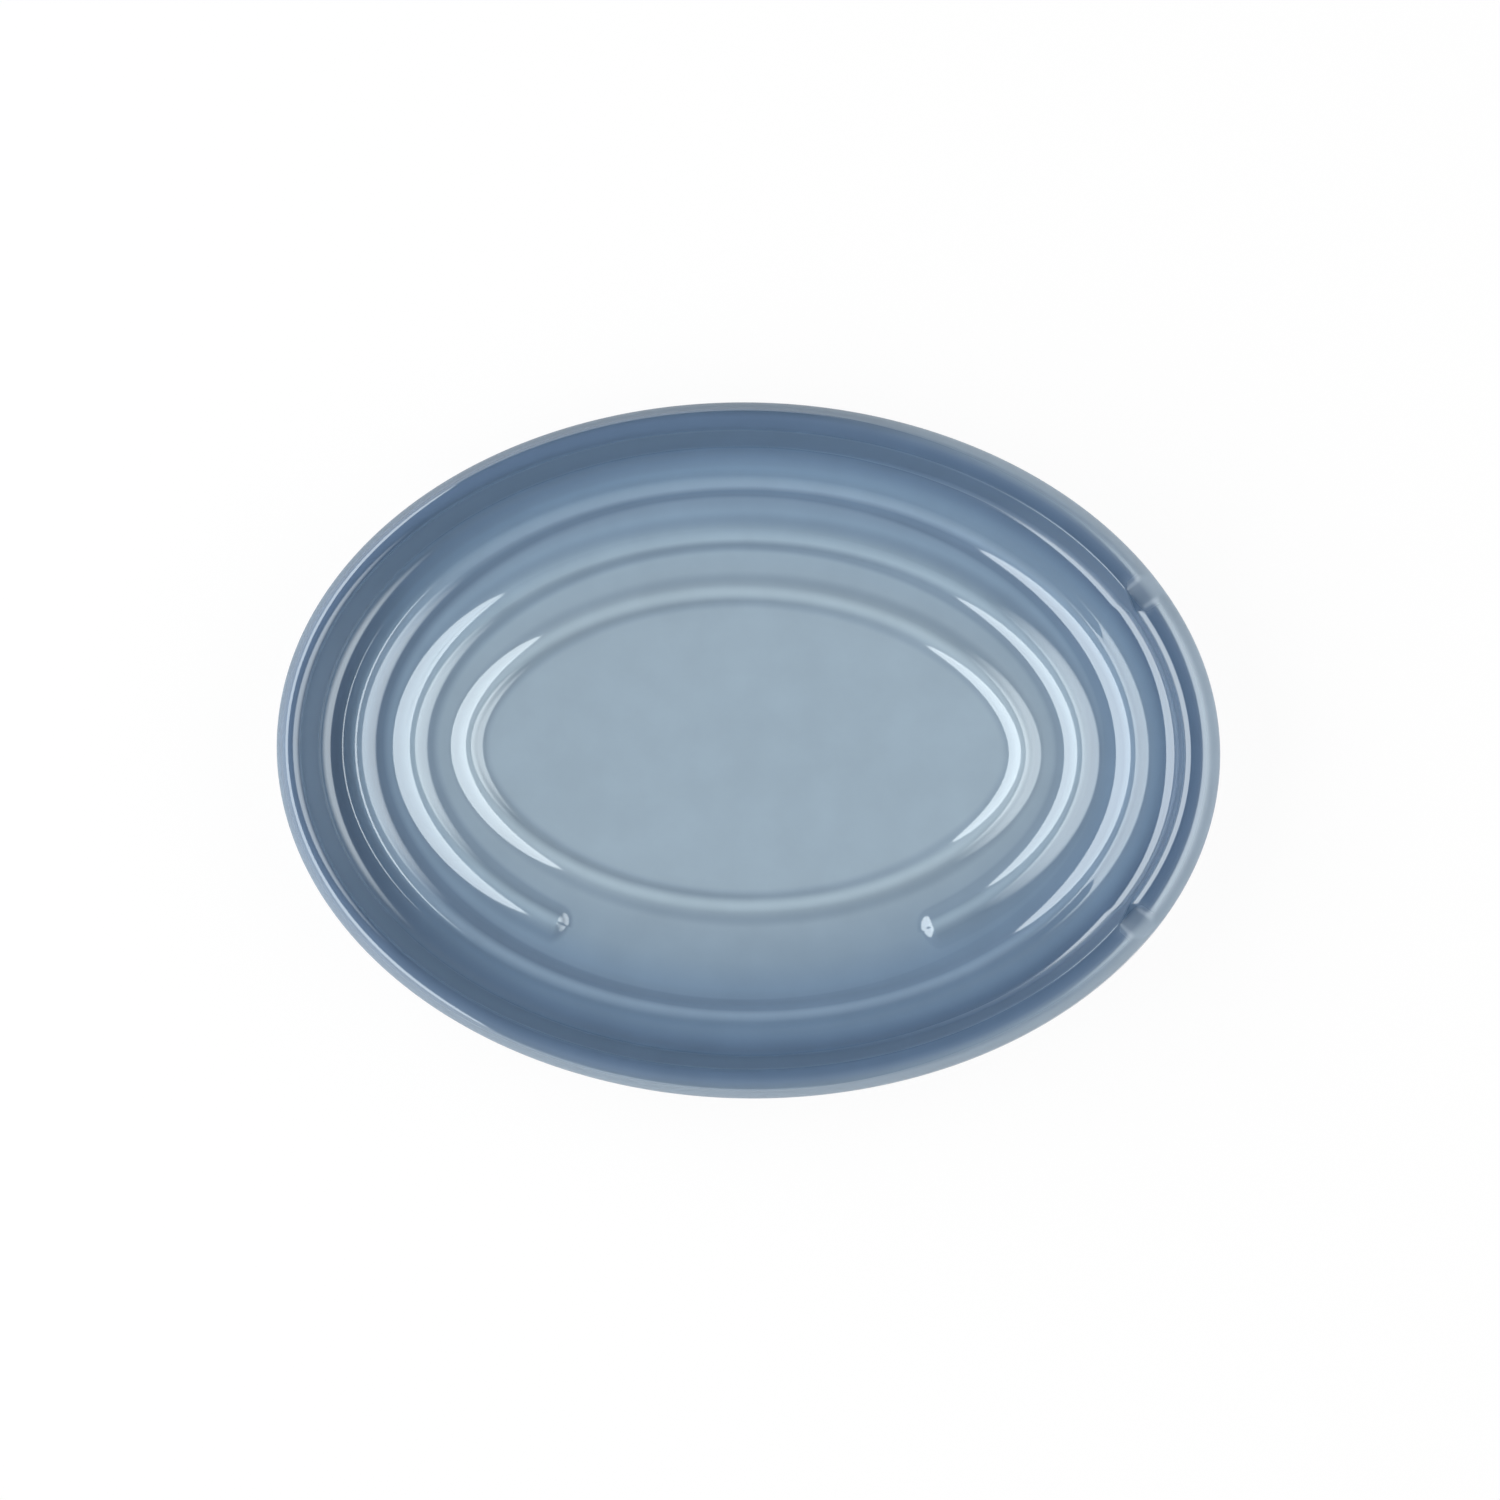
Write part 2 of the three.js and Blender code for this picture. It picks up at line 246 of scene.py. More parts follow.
def face_height(inset):
    """Height of the dish's face: a level floor, the rings on it, and outside the first ring a level that
    rises towards the dip."""
    level = np.where(inset < crest_inset(RINGS[0]), NEAR_LEVEL_RISE * near_share(), 0)
    height = level
    for ring in RINGS:
        distance, reach = ring_shares(ring, inset)
        rise = ring["rise"] - level
        height = np.maximum(height, level + rise * flank(distance, reach, rise))
    return FLOOR_HEIGHT + height


def arc(centre, radius, start, end, side=1):
    """An arc of the section: centre plus side * radius * (sin, cos) of the lean from start to end.
    A side of -1 gives a hollow arc. Centre, radius and leans may differ from column to column."""
    share = np.linspace(0, 1, ARC_ROWS)[:, None]
    lean = start + share * (end - start) + 0 * ANGLES
    return np.stack((centre[0] + side * radius * np.sin(lean), centre[1] + side * radius * np.cos(lean)))


def line(start, end, rows):
    """Points of the section between two others, without the two."""
    share = np.linspace(0, 1, rows + 2)[1:-1, None]
    return start[:, None, :] * (1 - share) + end[:, None, :] * share


def rim_section():
    """The wall foot's hollow, the wall, and the lip, each tangent to the next. The lip's outside has two
    arcs: its own radius down to LIP_TURN, then the radius that reaches the outline upright. In the dip
    the lip is lower and thicker. The wall stands steeper there than at the far end, most of all by the
    dip's ends, where its foot is tighter."""
    near = near_share()
    dip = dip_share()
    drop = dip * DIP_DEPTH
    corner = smooth_step(angle_between(ANGLES, 0) / DIP_ANGLE)
    slope = FAR_WALL_SLOPE + near_wall() * (NEAR_WALL_SLOPE - FAR_WALL_SLOPE)
    slope = slope + dip * (DIP_WALL_SLOPE + corner * (DIP_CORNER_SLOPE - DIP_WALL_SLOPE) - slope)
    foot_radius = FAR_FOOT_RADIUS + near * (NEAR_FOOT_RADIUS - FAR_FOOT_RADIUS)
    foot_radius = foot_radius + corner * near_wall() * (CORNER_FOOT_RADIUS - foot_radius)
    lip = {part: size + near * (NEAR_LIP[part] - size) for part, size in FAR_LIP.items()}
    inner = lip["inner"] + dip * (DIP_INNER_RADIUS - lip["inner"])
    outer = lip["outer"] + dip * (DIP_LIP_RADIUS - lip["outer"])
    high_flat = (1 - dip) * lip["flat"]
    centre = np.stack((
        lip["crest"] + high_flat + dip * DIP_SHIFT,
        RIM_HEIGHT - drop - inner,
    ))
    flat = high_flat + dip * DIP_FLAT
    reach = centre[0] * np.sin(slope) + centre[1] * np.cos(slope) + inner + foot_radius
    lift = FLOOR_HEIGHT + near * NEAR_LEVEL_RISE + foot_radius
    hollow = np.stack(((reach - lift * np.cos(slope)) / np.sin(slope), lift))
    foot_arc = arc(hollow, foot_radius, 0, slope, side=-1)
    inner_arc = arc(centre, inner, slope, 0)
    outer_centre = np.stack((centre[0] - flat, RIM_HEIGHT - drop - outer))
    outer_arc = arc(outer_centre, outer, 0, -LIP_TURN)
    bulge = (outer_centre[0] - outer * math.sin(LIP_TURN)) / (1 - math.sin(LIP_TURN))
    bulge_centre = np.stack((bulge, outer_centre[1] + (outer - bulge) * math.cos(LIP_TURN)))
    bulge_arc = arc(bulge_centre, bulge, -LIP_TURN, -math.pi / 2)[:, 1:]
    wall = line(foot_arc[:, -1], inner_arc[:, 0], WALL_ROWS)
    top = line(inner_arc[:, -1], outer_arc[:, 0], 1)
    return np.concatenate((foot_arc, wall, inner_arc, top, outer_arc, bulge_arc), axis=1)


def outside_section(start):
    """The upright band under the lip, then a quarter of an oval that turns in to the foot ring."""
    turn = np.linspace(0, math.pi / 2, UNDERSIDE_ROWS)[:, None] + 0 * ANGLES
    under = np.stack((
        FOOT_INSET * (1 - np.cos(turn)),
        SHOULDER_HEIGHT - (SHOULDER_HEIGHT - FOOT_HEIGHT) * np.sin(turn),
    ))
    return np.concatenate((line(start, under[:, 0], BAND_ROWS), under), axis=1)


def direction(section):
    """The section's direction down the rows, by central differences, as a unit of inset and height."""
    along = np.gradient(section, axis=1)
    return along / np.hypot(along[0], along[1])


def sunk(section, depth):
    """The section moved into the material by a depth, along its direction turned a quarter."""
    along = direction(section)
    return section - depth * np.stack((along[1], -along[0]))


def glazed_section():
    """The whole glazed section from near the middle of the floor over the rim to the foot ring, as an
    array of insets and heights by row and column."""
    rim = rim_section()
    floor = np.linspace(HALF_WIDTH, FLOOR_INSET, FLOOR_ROWS + 2)[1:-1, None] + 0 * ANGLES
    share = np.linspace(0, 1, FACE_ROWS, endpoint=False)[:, None]
    face = FLOOR_INSET + share * (rim[0, 0] - FLOOR_INSET)
    inset = np.concatenate((floor, face))
    face_points = np.stack((inset, face_height(inset)))
    return np.concatenate((face_points, rim, outside_section(rim[:, -1])), axis=1)


def hidden_section():
    """The clay's surface under the glaze, drawn with fewer rows."""
    return sunk(glazed_section(), GLAZE_THICKNESS)[:, ::HIDDEN_ROW_STEP]


def foot_section():
    """The bare foot ring: its outer side, flat underside and inner side, with rounded edges."""
    inner_side = FOOT_INSET + FOOT_WIDTH
    edges = [
        arc(np.array([[FOOT_INSET + FOOT_CHAMFER], [FOOT_CHAMFER]]), FOOT_CHAMFER, -math.pi / 2, -math.pi),
        arc(np.array([[inner_side - FOOT_CHAMFER], [FOOT_CHAMFER]]), FOOT_CHAMFER, -math.pi, -1.5 * math.pi),
    ]
    return np.concatenate((edges[0], line(edges[0][:, -1], edges[1][:, 0], BAND_ROWS), edges[1]), axis=1)


def recess_section(depth):
    """The recess inside the foot ring, seen from below: a hollow corner that runs into the flat ceiling.
    A depth brings it in and down by the thickness of the glaze there."""
    corner = arc(
        np.array([[FOOT_INSET + FOOT_WIDTH + RECESS_RADIUS], [RECESS_DEPTH - RECESS_RADIUS]]),
        RECESS_RADIUS - depth, -math.pi / 2, 0)
    ceiling = corner[:, -1] + np.stack((np.full_like(ANGLES, RECESS_RADIUS), 0 * ANGLES))
    return np.concatenate((corner, ceiling[:, None]), axis=1)


def loft(name, section):
    """A closed body from a section: rows run round the oval, and the first and the last row close on
    the middle. Row i and column j give the quad (i, j), (i + 1, j), (i + 1, j + 1), (i, j + 1)."""
    rows, columns = section.shape[1:]
    x, y = plan(section[0])
    points = np.stack((x, y, section[1]), axis=-1).reshape(-1, 3)
    poles = np.array([[0, 0, section[1, 0].mean()], [0, 0, section[1, -1].mean()]])
    index = np.arange(rows * columns).reshape(rows, columns)
    beside = np.roll(index, -1, axis=1)
    quads = np.stack((index[:-1], index[1:], beside[1:], beside[:-1]), axis=-1).reshape(-1, 4)
    first = np.full(columns, rows * columns)
    top = np.stack((first, index[0], beside[0]), axis=-1)
    bottom = np.stack((first + 1, beside[-1], index[-1]), axis=-1)
    faces = quads.tolist() + top.tolist() + bottom.tolist()
    mesh = bpy.data.meshes.new(name)
    mesh.from_pydata(np.concatenate((points, poles)).tolist(), [], faces)
    mesh.polygons.foreach_set("use_smooth", np.ones(len(mesh.polygons), dtype=bool))
    mesh.update()
    obj = bpy.data.objects.new(name, mesh)
    bpy.context.scene.collection.objects.link(obj)
    return obj


def add_point_values(obj, name, values, pole_values):
    """A named value on every vertex, given by row and column, with one for each pole."""
    attribute = obj.data.attributes.new(name, "FLOAT", "POINT")
    flat = np.concatenate((values.reshape(-1), pole_values)).astype(np.float32)
    attribute.data.foreach_set("value", flat)


def new_material(name):
    """A material with its nodes and links."""
    material = bpy.data.materials.new(name)
    material.use_nodes = True
    return material, material.node_tree.nodes, material.node_tree.links


# The glaze's colour by inset, in metres and sRGB shares
GLAZE_TONES = (
    (0.0, (0.35, 0.43, 0.51)),
    (0.0010, (0.30, 0.39, 0.49)),
    (0.0025, (0.335, 0.425, 0.54)),
    (0.0045, (0.31, 0.402, 0.512)),
    (0.0065, (0.33, 0.42, 0.525)),
    (0.0085, (0.395, 0.495, 0.61)),
    (0.0100, (0.455, 0.56, 0.67)),
    (0.0120, (0.495, 0.592, 0.69)),
    (0.0130, (0.49, 0.583, 0.68)),
    (0.0140, (0.48, 0.573, 0.67)),
    (0.0155, (0.455, 0.545, 0.64)),
    (0.0175, (0.49, 0.587, 0.683)),
    (0.0220, (0.54, 0.625, 0.70)),
    (0.0280, (0.56, 0.637, 0.703)),
    (0.0350, (0.59, 0.667, 0.73)),
)

# The lip's edge is paler, where the glaze is thinner and a painted sheen stands in for its reflection;
# this band is widest at the dip's end of the dish and next at one side. A painted reflection pales the
# far wall a little, and a painted sheen the slopes at the dip's ends.
THIN_AND_SHEEN_TONE = (0.515, 0.595, 0.675)
THIN_REACH = 0.0040
NEAR_THIN_START = 0.0016
NEAR_THIN_REACH = 0.0034
THIN_SIDE = math.radians(-70)
FAR_WALL_REFLECTION_SHARE = 0.22
FAR_WALL_POWER = 3
FAR_WALL_BAND = {"start": 0.004, "end": 0.0085, "fade_in": 0.001, "fade_out": 0.0015}
DIP_END_SHEEN_SHARE = 0.3
DIP_END_MARGIN = 0.4
LIP_REACH = 0.0058
LIP_FADE = 0.002

# Painted shade on the rings' steep flanks: where it is darkest outside and inside each crest and where it
# ends, as shares of the flank's reach
FLANK_SHADE_PLACES = (0.63, 0.76)
FLANK_SHADE_END = 1.6

# How much darker the face is towards one side; painted shade at the foot of the far wall, in the far
# rim's shadow; painted shade on the wall at the dip's end; and how much darker the trough inside the wall
# is towards one side. The face and trough are as much paler on the other side, and the far wall is paler
# with a painted reflection. The darkening towards one side starts over the first ring's outer flank and
# fades out before its end.
SKEW_SHARE = 0.8
SKEW_SIDE = math.radians(-45)
SKEW_END = 0.03198
SKEW_FADE = 0.0134
CORNER_SHARE = 1.0
CORNER_POWER = 6
WALL_SHARE = 0.85
WALL_BAND = {"start": 0.0035, "end": 0.0095, "fade_in": 0.002, "fade_out": 0.002}
TROUGH_SHARE = 0.6
TROUGH_SIDE = math.radians(-80)
TROUGH_BAND = {"start": 0.006, "end": 0.014, "fade_in": 0.002, "fade_out": 0.002}

# The tints of the glaze: paler on the crests, where it runs thinner, darker in painted shade, and its
# faint mottle
CREST_TINT = (1.3, 1.26, 1.2)
SHADE_TINT = (0.78, 0.8, 0.83)
MOTTLE_SCALE = 140.0
MOTTLE_DETAIL = 3.0
MOTTLE_RANGE = (0.3, 0.7)
MOTTLE_SHARE = 0.03

# The gloss. It is dull on the lip's edge, and between the lip and the wall's foot where the surface is
# steeper than a limit, given as the sine of its slope. The limit is lower past the dip's ends.
GLAZE_IOR = 1.7
GLOSS_LEVEL = 1.0
GLOSS_TINT = (0.91, 0.98, 1.0, 1)
GLAZE_ROUGHNESS = 0.06
DULL_ROUGHNESS = 0.5
EDGE_START = 0.0006
EDGE_REACH = 0.0018
NEAR_EDGE_REACH = 0.0030
LIP_CREST = 0.004
WALL_FOOT = 0.0095
WALL_STEEPNESS = 0.85
FOOT_STEEPNESS = 0.5
WALL_DULLNESS = 0.95

# The inset that stands for the outside and the underside, which have the tone of the lip
OUTSIDE_INSET = 0.002

CLAY_TONE = (0.85, 0.81, 0.74)
CLAY_ROUGHNESS = 0.85


def band(inset, start, end, fade_in, fade_out):
    """1 between two insets, fading in from the first one and out to the second one."""
    return smooth_step((inset - start) / fade_in) * smooth_step((end - inset) / fade_out)


def far_share(power):
    """1 at the far end of the oval, falling to 0 at the dip, the sooner the greater the power."""
    return (1 - near_share()) ** power


def shade_and_glaze_depth(inset):
    """How much darker the face is: -1 on a ring's crest, where the glaze runs thinner and paler, the flank's
    shade value partway down a flank, which is painted shade, and 0 on level ground. The darkening towards
    one side, the painted shade at the far wall's foot, the wall's painted shade and painted reflection, and
    the trough add their shares."""
    shade_and_depth = 0
    # Painted shade partway down each ring's steep flanks, and paler crests
    for ring in RINGS:
        distance, reach = ring_shares(ring, inset)
        outside = inset < crest_inset(ring)
        place = distance / reach / np.where(outside, *FLANK_SHADE_PLACES)
        flank_shade = np.where(outside, *ring["flank_shades"])
        rising = flank_shade - (1 + flank_shade) * (1 + np.cos(math.pi * np.minimum(place, 1))) / 2
        shade_and_depth = shade_and_depth + np.where(place < 1, rising, flank_shade * smooth_step((FLANK_SHADE_END - place) / (FLANK_SHADE_END - 1)))
    outer = RINGS[0]["outer"]
    foot = crest_inset(RINGS[0]) - outer
    skew = np.cos(ANGLES - SKEW_SIDE) * band(inset, foot, SKEW_END, outer, SKEW_FADE)
    # Painted shade at the foot of the far wall, in the far rim's shadow; then on the wall painted shade at
    # the dip's end and a painted reflection at the far end
    corner = far_share(CORNER_POWER) * smooth_step(2 - 2 * np.abs(inset - foot) / outer)
    wall = np.cos(ANGLES) * band(inset, **WALL_BAND)
    trough = np.cos(ANGLES - TROUGH_SIDE) * band(inset, **TROUGH_BAND)
    return shade_and_depth + SKEW_SHARE * skew + CORNER_SHARE * corner + WALL_SHARE * wall + TROUGH_SHARE * trough


def dip_ends(inset):
    """1 in the middle of the slopes at the dip's ends, falling to 0 past each slope, inside the lip and
    on the outside."""
    share = (angle_between(ANGLES, 0) - DIP_ANGLE) / DIP_END_ANGLE
    place = np.clip((share + DIP_END_MARGIN) / (1 + 2 * DIP_END_MARGIN), 0, 1)
    inside = smooth_step((LIP_REACH - inset) / LIP_FADE) * (inset != OUTSIDE_INSET)
    return 4 * place * (1 - place) * inside


def thin_glaze_and_sheen(inset):
    """How pale the glaze is: over the lip's edge, where it is thinner and carries a painted sheen, widest at
    the dip's end of the dish and next round one long side; a painted reflection on the far wall; and a
    painted sheen on the slopes at the dip's ends."""
    share = np.maximum(near_wall(), ((1 + np.cos(ANGLES - THIN_SIDE)) / 2) ** 2)
    start = NEAR_THIN_START * near_wall()
    reach = THIN_REACH + near_wall() * (NEAR_THIN_REACH - THIN_REACH)
    edge = share * (1 - smooth_step((inset - start) / (reach - start)))
    # A painted reflection on the far wall, and a painted sheen on the slopes at the dip's ends
    far = FAR_WALL_REFLECTION_SHARE * far_share(FAR_WALL_POWER) * band(inset, **FAR_WALL_BAND)
    return np.maximum(edge + far, DIP_END_SHEEN_SHARE * dip_ends(inset))


def dulling(section, inset):
    """How dull the glaze is: on the outermost edge of the lip, on the slopes at the dip's ends, on the
    steep wall, and past the dip's ends also on the wall's foot. The wall is fully dull from halfway
    between the limit of steepness and upright."""
    reach = EDGE_REACH + near_wall() * (NEAR_EDGE_REACH - EDGE_REACH)
    edge = 1 - smooth_step((inset - EDGE_START) / (reach - EDGE_START))
    limit = WALL_STEEPNESS + near_wall() * (1 - dip_share()) * (FOOT_STEEPNESS - WALL_STEEPNESS)
    steep = smooth_step(2 * (np.abs(direction(section)[1]) - limit) / (1 - limit))
    wall = WALL_DULLNESS * steep * (inset > LIP_CREST) * (inset < WALL_FOOT)
    return np.maximum(np.maximum(edge, wall), dip_ends(inset))


def linear(colour):
    """Scene-linear values of an sRGB colour: ((c + 0.055) / 1.055)^2.4."""
    return tuple(((part + 0.055) / 1.055) ** 2.4 for part in colour)


def new_node(nodes, kind, **settings):
    """A node with some of its settings, and with constant inputs given by name or place."""
    node = nodes.new(kind)
    for name, value in settings.pop("inputs", {}).items():
        node.inputs[name].default_value = value
    for name, value in settings.items():
        setattr(node, name, value)
    return node


def tint_by(nodes, links, value, low, high, low_tint, high_tint):
    """A colour factor that goes from one tint to another as a value goes from low to high."""
    ends = {"From Min": 3 * (low,), "From Max": 3 * (high,), "To Min": low_tint, "To Max": high_tint}
    spread = nodes.new("ShaderNodeCombineXYZ")
    for axis in "XYZ":
        links.new(value, spread.inputs[axis])
    tint = new_node(nodes, "ShaderNodeMapRange", data_type="FLOAT_VECTOR")
    links.new(spread.outputs[0], tint.inputs["Vector"])
    for name, end in ends.items():
        tint.inputs[name].default_value = end
    return tint.outputs["Vector"]


def multiplied(nodes, links, colour, factor):
    """A colour times a factor, part by part."""
    product = new_node(nodes, "ShaderNodeVectorMath", operation="MULTIPLY")
    links.new(colour, product.inputs[0])
    links.new(factor, product.inputs[1])
    return product.outputs[0]


def glaze_material():
    """The glaze's tones by inset, paler where it is thinner and under a painted sheen and painted
    reflection, darker under painted shade, a little mottled, under a clear gloss that is rougher where the
    glaze is dull."""
    material, nodes, links = new_material("blue_glaze")
    shader = nodes["Principled BSDF"]
    shader.inputs["IOR"].default_value = GLAZE_IOR
    shader.inputs["Specular IOR Level"].default_value = GLOSS_LEVEL
    shader.inputs["Specular Tint"].default_value = GLOSS_TINT
    inset = new_node(nodes, "ShaderNodeAttribute", attribute_name="inset")
    scale = new_node(nodes, "ShaderNodeMath", operation="DIVIDE", inputs={1: FLOOR_INSET})
    links.new(inset.outputs["Fac"], scale.inputs[0])
    ramp = nodes.new("ShaderNodeValToRGB")
    while len(ramp.color_ramp.elements) < len(GLAZE_TONES):
        ramp.color_ramp.elements.new(0.5)
    for element, (place, colour) in zip(ramp.color_ramp.elements, GLAZE_TONES):
        element.position = place / FLOOR_INSET
        element.color = (*linear(colour), 1)
    links.new(scale.outputs[0], ramp.inputs["Fac"])
    dull = new_node(nodes, "ShaderNodeAttribute", attribute_name="dull")
    roughness = new_node(
        nodes, "ShaderNodeMapRange", inputs={"To Min": GLAZE_ROUGHNESS, "To Max": DULL_ROUGHNESS})
    links.new(dull.outputs["Fac"], roughness.inputs["Value"])
    links.new(roughness.outputs["Result"], shader.inputs["Roughness"])
    # A pale tone for the lip's thinner glaze with a painted sheen, a painted reflection on the far wall, and
    # a painted sheen at the dip's ends
    thin_and_sheen = new_node(nodes, "ShaderNodeAttribute", attribute_name="thin_and_sheen")
    edge = new_node(nodes, "ShaderNodeMix", data_type="RGBA")
    edge.inputs["B"].default_value = (*linear(THIN_AND_SHEEN_TONE), 1)
    links.new(thin_and_sheen.outputs["Fac"], edge.inputs["Factor"])
    links.new(ramp.outputs["Color"], edge.inputs["A"])
    # Painted shade darkens the steep flanks and walls; the crests are paler
    shade_and_depth = new_node(nodes, "ShaderNodeAttribute", attribute_name="shade_and_depth")
    shaded = multiplied(nodes, links, edge.outputs["Result"], tint_by(
        nodes, links, shade_and_depth.outputs["Fac"], -1, 1, CREST_TINT, SHADE_TINT))
    place = nodes.new("ShaderNodeTexCoord")
    noise = new_node(nodes, "ShaderNodeTexNoise", inputs={"Scale": MOTTLE_SCALE, "Detail": MOTTLE_DETAIL})
    links.new(place.outputs["Object"], noise.inputs["Vector"])
    mottled = multiplied(nodes, links, shaded, tint_by(
        nodes, links, noise.outputs[0], *MOTTLE_RANGE, 3 * (1 - MOTTLE_SHARE,), 3 * (1 + MOTTLE_SHARE,)))
    links.new(mottled, shader.inputs["Base Color"])
    return material


def clay_material():
    """Bare fired clay, pale and matt."""
    material, nodes, links = new_material("bare_stoneware")
    shader = nodes["Principled BSDF"]
    shader.inputs["Base Color"].default_value = (*linear(CLAY_TONE), 1)
    shader.inputs["Roughness"].default_value = CLAY_ROUGHNESS
    return material


def make_glaze_coat(material):
    """The glaze over the face, rim and outside: the finished surface, and the clay's surface under it.
    Every row past the outline's has the tone of the outside."""
    section = np.concatenate((glazed_section(), hidden_section()[:, ::-1]), axis=1)
    coat = loft("glaze_coat_fine", section)
    outline_row = np.argmin(section[0].sum(axis=1))
    inset = np.where(np.arange(len(section[0]))[:, None] > outline_row, OUTSIDE_INSET, section[0])
    add_point_values(coat, "inset", inset, (HALF_WIDTH, HALF_WIDTH))
    # Painted shade and paler crests, then a pale tone with a painted sheen and a painted reflection
    add_point_values(coat, "shade_and_depth", shade_and_glaze_depth(inset), (0, 0))
    add_point_values(coat, "thin_and_sheen", thin_glaze_and_sheen(inset), (0, 0))
    add_point_values(coat, "dull", dulling(section, inset), (0, 0))
    coat.data.materials.append(material)
    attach(coat, "root")
    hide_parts("glaze_coat")


def make_stoneware_body(material):
    """The clay: its glazed side, the bare foot ring, and the recess under the middle."""
    section = np.concatenate((hidden_section(), foot_section(), recess_section(0)), axis=1)
    body = loft("stoneware_body_fine", section)
    body.data.materials.append(material)
    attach(body, "root")
    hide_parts("stoneware_body")


def make_base_glaze(material):
    """The glaze in the recess, a skin between the clay and its own surface."""
    section = np.concatenate((recess_section(0)[:, ::-1], recess_section(GLAZE_THICKNESS)), axis=1)
    glaze = loft("base_glaze_fine", section)
    add_point_values(glaze, "inset", np.full_like(section[0], OUTSIDE_INSET), 2 * (OUTSIDE_INSET,))
    glaze.data.materials.append(material)
    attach(glaze, "root")
    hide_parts("base_glaze")


# The floor's half side, the tent's height and light, and how much of the floor's white shows to the
# camera and in reflections
STAGE_SIDE = 5.0
TENT_HEIGHT = 6.0
TENT_STRENGTH = 0.13
FLOOR_COLOUR = (0.9, 0.9, 0.9, 1)
WHITE_SHARE = 0.93


def stage_mesh(name, points, faces, material):
    """A mesh of the stage from its points and faces."""
    mesh = bpy.data.meshes.new(name)
    mesh.from_pydata(points, [], faces)
    obj = bpy.data.objects.new(name, mesh)
    bpy.context.scene.collection.objects.link(obj)
    obj.data.materials.append(material)
    return obj


def floor_material():
    """A pale matt floor that shows white to the camera and in reflections, and keeps a faint shadow."""
    material, nodes, links = new_material("pale_floor")
    nodes.remove(nodes["Principled BSDF"])
    diffuse = new_node(nodes, "ShaderNodeBsdfDiffuse", inputs={"Color": FLOOR_COLOUR})
    white = nodes.new("ShaderNodeEmission")
    path = nodes.new("ShaderNodeLightPath")
    seen = new_node(nodes, "ShaderNodeMath", operation="MAXIMUM")
    seen_or_through = new_node(nodes, "ShaderNodeMath", operation="MAXIMUM")
    share = new_node(nodes, "ShaderNodeMath", operation="MULTIPLY", inputs={1: WHITE_SHARE})
    mix = nodes.new("ShaderNodeMixShader")
    links.new(path.outputs["Is Camera Ray"], seen.inputs[0])
    links.new(path.outputs["Is Glossy Ray"], seen.inputs[1])
    links.new(seen.outputs[0], seen_or_through.inputs[0])
    links.new(path.outputs["Is Transmission Ray"], seen_or_through.inputs[1])
    links.new(seen_or_through.outputs[0], share.inputs[0])
    links.new(share.outputs[0], mix.inputs["Fac"])
    links.new(diffuse.outputs[0], mix.inputs[1])
    links.new(white.outputs[0], mix.inputs[2])
    links.new(mix.outputs[0], nodes["Material Output"].inputs["Surface"])
    return material


def make_floor_and_tent():
    """The floor, and over it a box-shaped tent of faint even light that the camera doesn't see."""
    side = STAGE_SIDE
    corners = [(-side, -side, 0), (side, -side, 0), (side, side, 0), (-side, side, 0)]
    stage_mesh("floor", corners, [(0, 1, 2, 3)], floor_material())
    material, nodes, links = new_material("tent")
    nodes.remove(nodes["Principled BSDF"])
    light = new_node(nodes, "ShaderNodeEmission", inputs={"Strength": TENT_STRENGTH})
    links.new(light.outputs[0], nodes["Material Output"].inputs["Surface"])
    top = [(x, y, TENT_HEIGHT) for x, y, z in corners]
    walls = [(i, (i + 1) % 4, 4 + (i + 1) % 4, 4 + i) for i in range(4)]
    tent = stage_mesh("tent", corners + top, walls + [(4, 5, 6, 7)], material)
    tent.visible_camera = False


# The light panels: two upright ovals at the dish's ends, cut off at the foot, placed and sized by the
# tangents of the angles at which the dish sees them. The left one has a hard edge, the right one a
# soft edge.
PANEL_FOOT = 0.135
PANEL_POINTS = 96
LEFT_PANEL = {
    "distance": -0.45, "middle": (-0.15, 0.0), "half_span": 1.6, "half_height": 2.17, "strength": 3.05,
    "edge_start": 0.98}
RIGHT_PANEL = {
    "distance": 0.3, "middle": (0.0, 1.48), "half_span": 1.69, "half_height": 1.73, "strength": 2.4,
    "edge_start": 0.35}


def panel_material(name, sizes):
    """Even light up to a share of the panel's oval, then less and less towards its edge."""
    material, nodes, links = new_material(name)
    nodes.remove(nodes["Principled BSDF"])
    place = nodes.new("ShaderNodeTexCoord")
    centred = new_node(nodes, "ShaderNodeVectorMath", operation="SUBTRACT")
    centred.inputs[1].default_value = (0, *(abs(sizes["distance"]) * part for part in sizes["middle"]))
    squeeze = new_node(nodes, "ShaderNodeVectorMath", operation="MULTIPLY")
    squeeze.inputs[1].default_value = (0, *(
        1 / (sizes[part] * abs(sizes["distance"])) for part in ("half_span", "half_height")))
    from_middle = new_node(nodes, "ShaderNodeVectorMath", operation="LENGTH")
    fade = new_node(nodes, "ShaderNodeMapRange", interpolation_type="SMOOTHSTEP", inputs={
        "From Min": sizes["edge_start"], "From Max": 1.0, "To Min": sizes["strength"], "To Max": 0.0})
    light = nodes.new("ShaderNodeEmission")
    links.new(place.outputs["Object"], centred.inputs[0])
    links.new(centred.outputs[0], squeeze.inputs[0])
    links.new(squeeze.outputs[0], from_middle.inputs[0])
    links.new(from_middle.outputs["Value"], fade.inputs["Value"])
    links.new(fade.outputs["Result"], light.inputs["Strength"])
    links.new(light.outputs[0], nodes["Material Output"].inputs["Surface"])
    return material


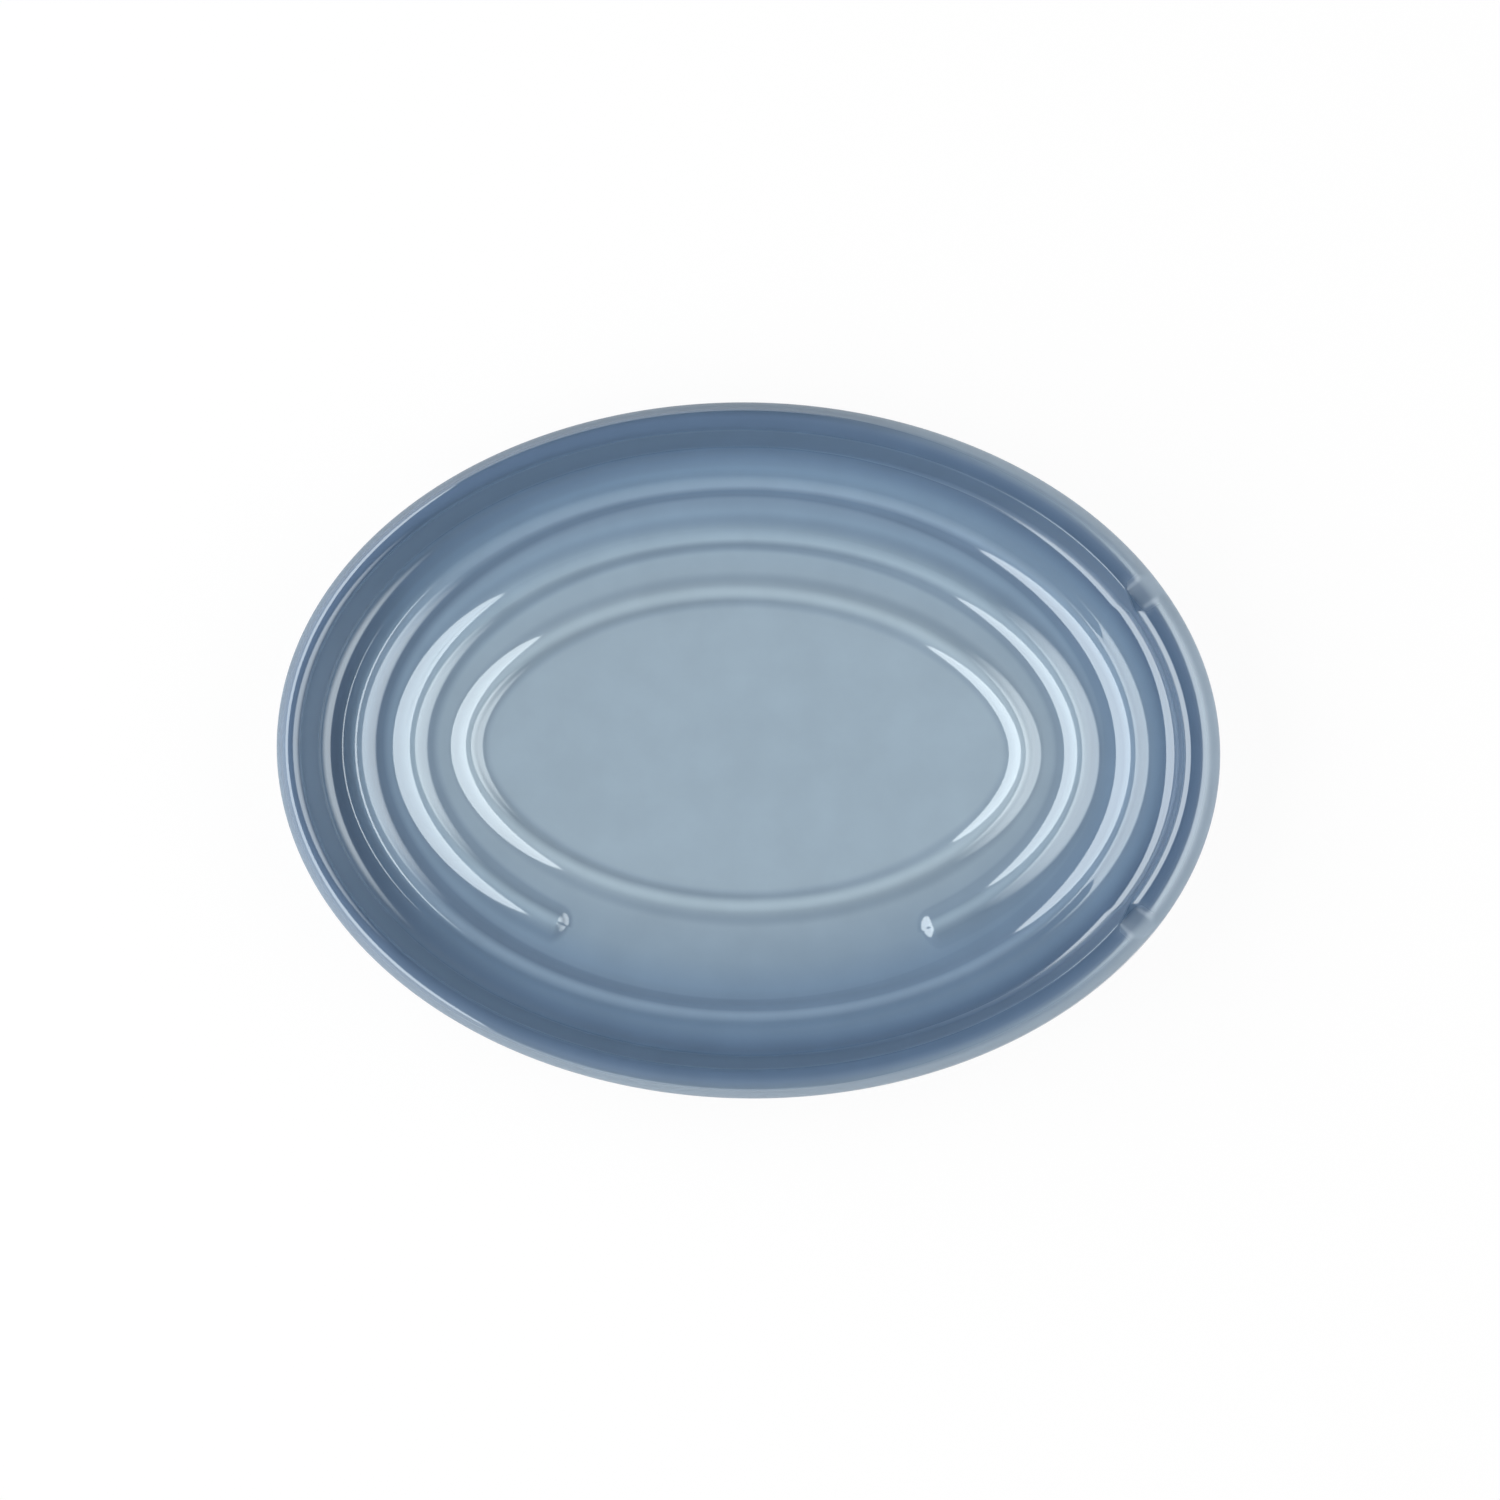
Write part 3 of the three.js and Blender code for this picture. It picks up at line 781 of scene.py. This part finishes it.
def make_panel(name, sizes):
    """An upright oval panel beyond one end of the dish, flattened at the panel's foot. The camera
    doesn't see it."""
    turn = np.linspace(0, 2 * math.pi, PANEL_POINTS, endpoint=False)
    y = sizes["middle"][0] + sizes["half_span"] * np.cos(turn)
    z = np.maximum(sizes["middle"][1] + sizes["half_height"] * np.sin(turn), PANEL_FOOT)
    distance = sizes["distance"]
    points = abs(distance) * np.stack((np.full_like(turn, np.sign(distance)), y, z), axis=1)
    panel = stage_mesh(name, points.tolist(), [tuple(range(len(points)))], panel_material(name, sizes))
    panel.visible_camera = False


def make_camera():
    """Above the dish with a long lens: nearly upright, a little towards the dip and the ring's gap, and
    turned by the dish's slight turn in the picture."""
    data = bpy.data.cameras.new("camera")
    data.sensor_width = SENSOR_SIDE
    data.lens = SENSOR_SIDE * CAMERA_DISTANCE * PIXELS_PER_METRE / PICTURE_SIDE
    data.shift_x = (PICTURE_SIDE / 2 - OBJECT_MIDDLE_PIXEL[0]) / PICTURE_SIDE
    data.shift_y = (OBJECT_MIDDLE_PIXEL[1] - PICTURE_SIDE / 2) / PICTURE_SIDE
    data.clip_end = CLIP_END
    camera = bpy.data.objects.new("camera", data)
    bpy.context.scene.collection.objects.link(camera)
    back = Vector((math.tan(CAMERA_LEAN[0]), math.tan(CAMERA_LEAN[1]), 1)).normalized()
    camera.location = Vector((0, 0, OUTLINE_HEIGHT)) + CAMERA_DISTANCE * back
    turn = Vector((0, 0, 1)).rotation_difference(back) @ Quaternion((0, 0, 1), OBJECT_TURN)
    camera.rotation_euler = turn.to_euler()
    bpy.context.scene.camera = camera


def make_world():
    """A white world, which only the camera sees, past the floor."""
    world = bpy.data.worlds.new("studio")
    bpy.context.scene.world = world
    world.use_nodes = True
    world.node_tree.nodes["Background"].inputs["Color"].default_value = (1, 1, 1, 1)


glaze = glaze_material()
clay = clay_material()
make_stoneware_body(clay)
make_glaze_coat(glaze)
make_base_glaze(glaze)
make_floor_and_tent()
make_panel("left_panel", LEFT_PANEL)
make_panel("right_panel", RIGHT_PANEL)
make_world()
make_camera()
bpy.context.scene.view_settings.view_transform = "Standard"
